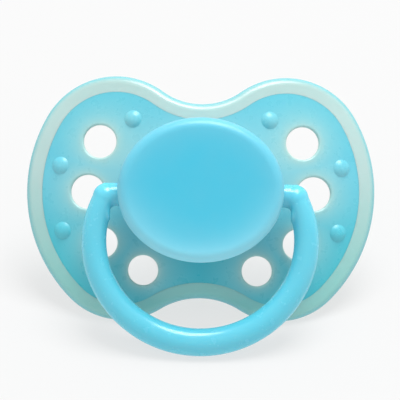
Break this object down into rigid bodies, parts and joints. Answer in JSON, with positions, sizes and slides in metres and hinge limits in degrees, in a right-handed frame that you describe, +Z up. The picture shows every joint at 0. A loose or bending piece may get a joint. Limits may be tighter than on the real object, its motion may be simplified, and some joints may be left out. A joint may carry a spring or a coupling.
{
  "type": "pacifier",
  "caption": "Baby pacifier: domed butterfly shield with vent holes and a soft milky rim, an oval knob, a swinging ring handle and a hollow teat behind.",
  "frame": {"origin": "on the table under the middle of the pacifier's box, as it rests leaning back on its teat", "axes": "+Z up; +X across the shield, to the right as the knob is looked at; -Y the way the front faces, raised 35.7 degrees"},
  "size_m": [0.06, 0.0454, 0.0363],
  "materials": {
    "plate": "soft satin, slightly translucent moulded plastic, pale blue",
    "rim": "milky translucent soft plastic, satin",
    "knob": "satin moulded plastic, bright blue",
    "ring": "glossy moulded plastic, bright blue",
    "teat": "clear silicone rubber, slightly milky",
    "plug": "natural moulded plastic"
  },
  "bodies": {
    "shield": {"shield_plate": "plate", "shield_rim": "rim", "knob_base": "knob", "knob_cap": "knob", "teat": "teat", "teat_plug": "plug"},
    "ring": {"ring": "ring"}
  },
  "joints": [
    {"name": "ring_swing", "type": "hinge", "parent": "shield", "child": "ring", "pos_m": [0, -0.00637, 0.02312], "axis": [-1, 0, 0], "range_deg": [-10, 190]}
  ]
}
